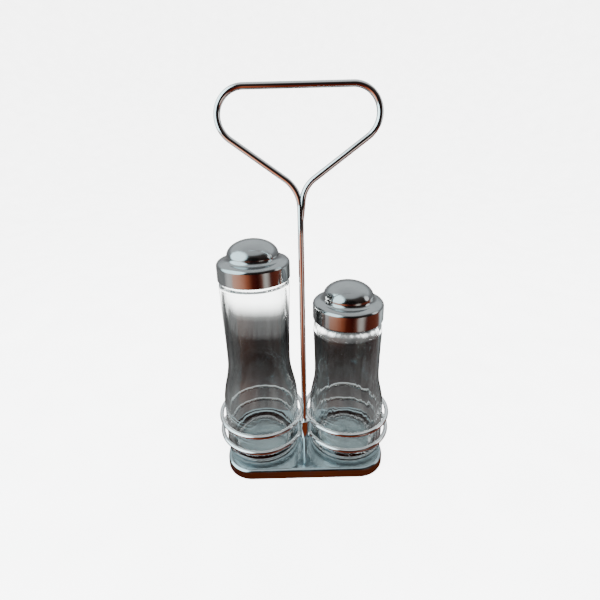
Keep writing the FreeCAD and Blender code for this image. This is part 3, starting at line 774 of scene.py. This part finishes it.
def reflected_table():
    """Red-brown wooden table that only the polished metal mirrors, glowing with painted light and painted shade.
    """
    material, tree, shader, place = new_finish("red_brown_wood_glowing_with_painted_light_and_shade")
    around = add(tree, "ShaderNodeTexGradient", {"Vector": place}, gradient_type="RADIAL").outputs["Fac"]
    grain = add(tree, "ShaderNodeTexNoise", {"Vector": place, "Scale": per(35.0), "Detail": 4.0})
    shifted = add(tree, "ShaderNodeMath", {0: grain.outputs["Fac"], 1: 0.04, 2: around},
                  operation="MULTIPLY_ADD")
    # far from the stand: the table round the set, paler in patches far out, with a painted shadow band just in
    # front
    far = add(tree, "ShaderNodeValToRGB", {"Fac": shifted.outputs[0]}, stops=[
        (0.0, "6f6c6b"), (0.05, "e2e0de"), (0.085, "d6d0cc"), (0.1, "f0b8a0"), (0.17, "d8957a"),
        (0.22, "a85c40"), (0.26, "551a12"), (0.31, "340a09"), (0.34, "6e3a2c"), (0.37, "d8d2ca"),
        (0.39, "c9c2ba"), (0.42, "55231a"), (0.5, "6d3426"), (0.54, "7a4a3c"), (0.58, "d8e2e4"),
        (0.66, "4c4c4c"), (0.98, "8a8b8b")])
    # close to the stand: painted shade, darker, where the stand shades the table
    near = add(tree, "ShaderNodeValToRGB", {"Fac": shifted.outputs[0]}, stops=[
        (0.03, "423d3c"), (0.1, "4f1d0b"), (0.3, "5c2612"), (0.48, "4f1d0b"), (0.56, "423d3c"),
        (0.96, "504c4b")])
    out = add(tree, "ShaderNodeVectorMath", {0: place}, operation="LENGTH").outputs["Value"]
    reach = add(tree, "ShaderNodeMapRange", {"Value": out, "From Min": 120 * MM, "From Max": 260 * MM})
    tint = add(tree, "ShaderNodeMix", {"Factor": reach.outputs["Result"], "A": near.outputs["Color"],
                                       "B": far.outputs["Color"]}, data_type="RGBA")
    # the table glows with painted light of its own; no lamp lights it
    glowing(tree, shader, tint.outputs["Result"], 1.6)
    stage_piece("reflected_table", turned([(0.0, 0.0), (700.0, 0.0)], sides=96), material, ("glossy",),
                at=(0, 0, -0.6))


def table_through_glass():
    """What shows through the glass, glowing: a grey grained table, painted lit near and far with painted shade
    between, white past its edge.
    """
    material, tree, shader, place = new_finish("table_and_white_in_painted_light_and_shade")
    depth = add(tree, "ShaderNodeSeparateXYZ", {"Vector": place}).outputs["Y"]
    along = add(tree, "ShaderNodeMapRange", {"Value": depth, "From Min": -0.3,
                                             "From Max": 0.3}).outputs["Result"]
    # painted light and shade along the depth: lit near and far, a dark band of painted shade between, white past
    # the table's edge
    tint = add(tree, "ShaderNodeValToRGB", {"Fac": along}, stops=[
        (0.0, "7c7d7e"), (0.5, "abacad"), (0.57, "8b8c8d"), (0.64, "5b5c5d"), (0.7, "131415"),
        (0.76, "191a1b"), (0.785, "7b7c7d"), (0.84, "8b8c8d"), (0.87, "cfd0d0"), (0.91, "ffffff")])
    boards = add(tree, "ShaderNodeMapping", {"Vector": place, "Scale": (1.0, 0.04, 1.0)})
    grain = add(tree, "ShaderNodeTexNoise", {"Vector": boards.outputs["Vector"], "Scale": per(9.0),
                                             "Detail": 3.0})
    shade = add(tree, "ShaderNodeValToRGB", {"Fac": grain.outputs["Fac"]},
                stops=[(0.3, "b4b4b4"), (0.68, "ffffff")])
    on_table = add(tree, "ShaderNodeMapRange", {"Value": along, "From Min": 0.78, "From Max": 0.86,
                                                "To Min": 1.0, "To Max": 0.1})
    grained = add(tree, "ShaderNodeMix", {"Factor": on_table.outputs["Result"], "A": tint.outputs["Color"],
                                          "B": shade.outputs["Color"]}, data_type="RGBA", blend_type="MULTIPLY")
    glowing(tree, shader, grained.outputs["Result"], 1.0)
    bright = add(tree, "ShaderNodeMapRange", {"Value": along, "From Min": 0.86, "From Max": 0.94,
                                              "To Min": 1.0, "To Max": 9.0})
    tree.links.new(bright.outputs["Result"], shader.inputs["Emission Strength"])
    stage_piece("table_through_glass", turned([(0.0, 0.0), (2500.0, 0.0)], sides=96), material,
                ("transmission",), at=(0, 0, -1.0))


def card(name, place, aim, size, colours, strength):
    """Soft-edged card at a place, turned to a point, that the polished metal and the glass's skin mirror."""
    material, tree, shader, coordinates = new_finish(name + "_paint")
    mottle = add(tree, "ShaderNodeTexNoise", {"Vector": coordinates, "Scale": per(90.0), "Detail": 2.0})
    tint = add(tree, "ShaderNodeValToRGB", {"Fac": mottle.outputs["Fac"]},
               stops=[(0.2, colours[0]), (0.8, colours[1])])
    glowing(tree, shader, tint.outputs["Color"], strength)
    inwards = add(tree, "ShaderNodeMapping", {"Vector": coordinates,
                                              "Scale": (per(size[0] / 2), per(size[1] / 2), 1)})
    middle_out = add(tree, "ShaderNodeTexGradient", {"Vector": inwards.outputs["Vector"]},
                     gradient_type="SPHERICAL").outputs["Fac"]
    uneven = add(tree, "ShaderNodeMath", {0: mottle.outputs["Fac"], 1: 0.5, 2: middle_out},
                 operation="MULTIPLY_ADD")
    edge = add(tree, "ShaderNodeMapRange", {"Value": uneven.outputs[0], "From Min": 0.35, "From Max": 0.62})
    tree.links.new(edge.outputs["Result"], shader.inputs["Alpha"])
    mesh = bmesh.new()
    mesh.faces.new([mesh.verts.new((x * size[0] / 2, y * size[1] / 2, 0))
                    for x, y in ((-1, -1), (1, -1), (1, 1), (-1, 1))])
    turn = (Vector(aim) - Vector(place)).to_track_quat("Z", "Y").to_euler()
    stage_piece(name, mesh, material, ("glossy",), at=place, turn=turn)


def lamp(name, place, aim, size, power, colour):
    """Soft rectangular lamp for the dull surfaces, at a place and turned to a point, both in millimetres."""
    light = bpy.data.lights.new(name, "AREA")
    light.shape = "RECTANGLE"
    light.size = size[0] * MM
    light.size_y = size[1] * MM
    light.energy = power
    light.color = linear(colour)[:3]
    thing = bpy.data.objects.new(name, light)
    thing.location = Vector(place) * MM
    thing.rotation_euler = (Vector(aim) - Vector(place)).to_track_quat("-Z", "Y").to_euler()
    bpy.context.scene.collection.objects.link(thing)
    show_only(thing, ("diffuse",))


def room():
    """Soft grey room, dark low down behind the viewer and bright high up behind the set."""
    world = bpy.data.worlds.new("soft_grey_room")
    bpy.context.scene.world = world
    world.use_nodes = True
    tree = world.node_tree
    place = add(tree, "ShaderNodeTexCoord").outputs["Generated"]
    parts = add(tree, "ShaderNodeSeparateXYZ", {"Vector": place}).outputs
    front = add(tree, "ShaderNodeValToRGB", {"Fac": parts["Z"]}, stops=[
        (0.0, "2c2220"), (0.4, "3c3432"), (0.68, "4e4947"), (0.84, "c2c6c8"), (1.0, "d2d7d9")])
    behind = add(tree, "ShaderNodeValToRGB", {"Fac": parts["Z"]}, stops=[
        (0.0, "8a8b8c"), (0.25, "a4a8aa"), (0.42, "dfe7ea"), (0.75, "e6edef"), (1.0, "d2d7d9")])
    side = add(tree, "ShaderNodeMapRange", {"Value": parts["Y"], "From Min": -0.3, "From Max": 0.3})
    shade = add(tree, "ShaderNodeMix", {"Factor": side.outputs["Result"], "A": front.outputs["Color"],
                                        "B": behind.outputs["Color"]}, data_type="RGBA")
    tree.links.new(shade.outputs["Result"], tree.nodes["Background"].inputs["Color"])
    tree.nodes["Background"].inputs["Strength"].default_value = 1.25


room()
pale_paper()
reflected_table()
table_through_glass()
card("window_card", place=(-640, -290, 400), aim=(0, 0, 120), size=(1500, 1650), colours=("b9e3ec", "e4f6fa"),
     strength=4.6)
card("right_card", place=(620, -60, 260), aim=(0, 0, 110), size=(300, 560), colours=("cfd3d4", "e4e6e6"),
     strength=2.4)
card("viewer_card", place=(60, -560, 215), aim=(0, 0, 150), size=(640, 640), colours=("0c0a0a", "2a2524"),
     strength=1.0)
lamp("overhead_softbox", place=(100, -200, 900), aim=(0, 0, 60), size=(700, 700), power=9.0, colour="ffffff")
lamp("left_softbox", place=(-500, -350, 450), aim=(0, 0, 100), size=(400, 400), power=4.0, colour="eaf6f8")


# ---- camera ----

CAMERA_PLACE = (-3.65, -221.28, 210.43)
CAMERA_PITCH = 19.205        # degrees down
CAMERA_ROLL = -1.4293
CAMERA_LENS = 22.73
CAMERA_SHIFT = (0.0077, -0.0462)


def camera():
    """Camera close in front of the set, looking down a little."""
    pitch = math.radians(CAMERA_PITCH)
    roll = math.radians(CAMERA_ROLL)
    forward = Vector((0.0, math.cos(pitch), -math.sin(pitch)))
    right = Vector((1.0, 0.0, 0.0))
    above = right.cross(forward)
    x_axis = math.cos(roll) * right + math.sin(roll) * above
    y_axis = -math.sin(roll) * right + math.cos(roll) * above
    data = bpy.data.cameras.new("close_camera")
    data.lens = CAMERA_LENS
    data.sensor_width = 36.0
    data.shift_x, data.shift_y = CAMERA_SHIFT
    data.clip_start = 0.01
    thing = bpy.data.objects.new("close_camera", data)
    thing.matrix_world = Matrix.Translation(Vector(CAMERA_PLACE) * MM) @ Matrix(
        (x_axis, y_axis, -forward)).transposed().to_4x4()
    bpy.context.scene.collection.objects.link(thing)
    bpy.context.scene.camera = thing


camera()
